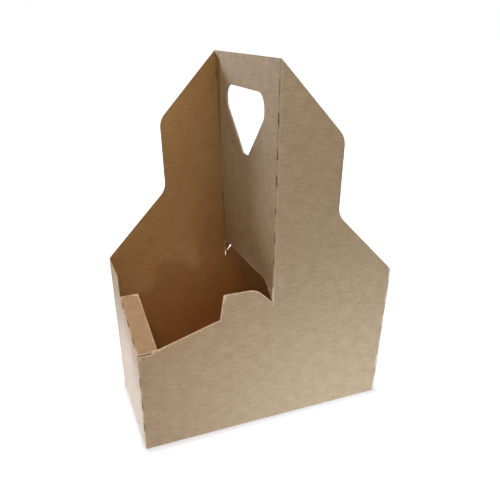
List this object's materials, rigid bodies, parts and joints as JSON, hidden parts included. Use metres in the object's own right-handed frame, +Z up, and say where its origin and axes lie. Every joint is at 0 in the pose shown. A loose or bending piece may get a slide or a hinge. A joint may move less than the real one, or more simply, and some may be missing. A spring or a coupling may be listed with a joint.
{
  "type": "cardboard cup carrier",
  "caption": "Folded kraft board takeaway carrier for hot drink cups, with an upright middle handle that has a grip hole and parts the cup spaces.",
  "frame": {"origin": "middle of the footprint, on the surface that the carrier stands on", "axes": "+X along the carrier from the left cup space to the right one, +Y from front to back, +Z up to the handle"},
  "size_m": [0.2024, 0.1302, 0.2796],
  "materials": {
    "kraft_board": "matt"
  },
  "bodies": {
    "root": {"cup_carrier": "kraft_board"}
  },
  "joints": []
}
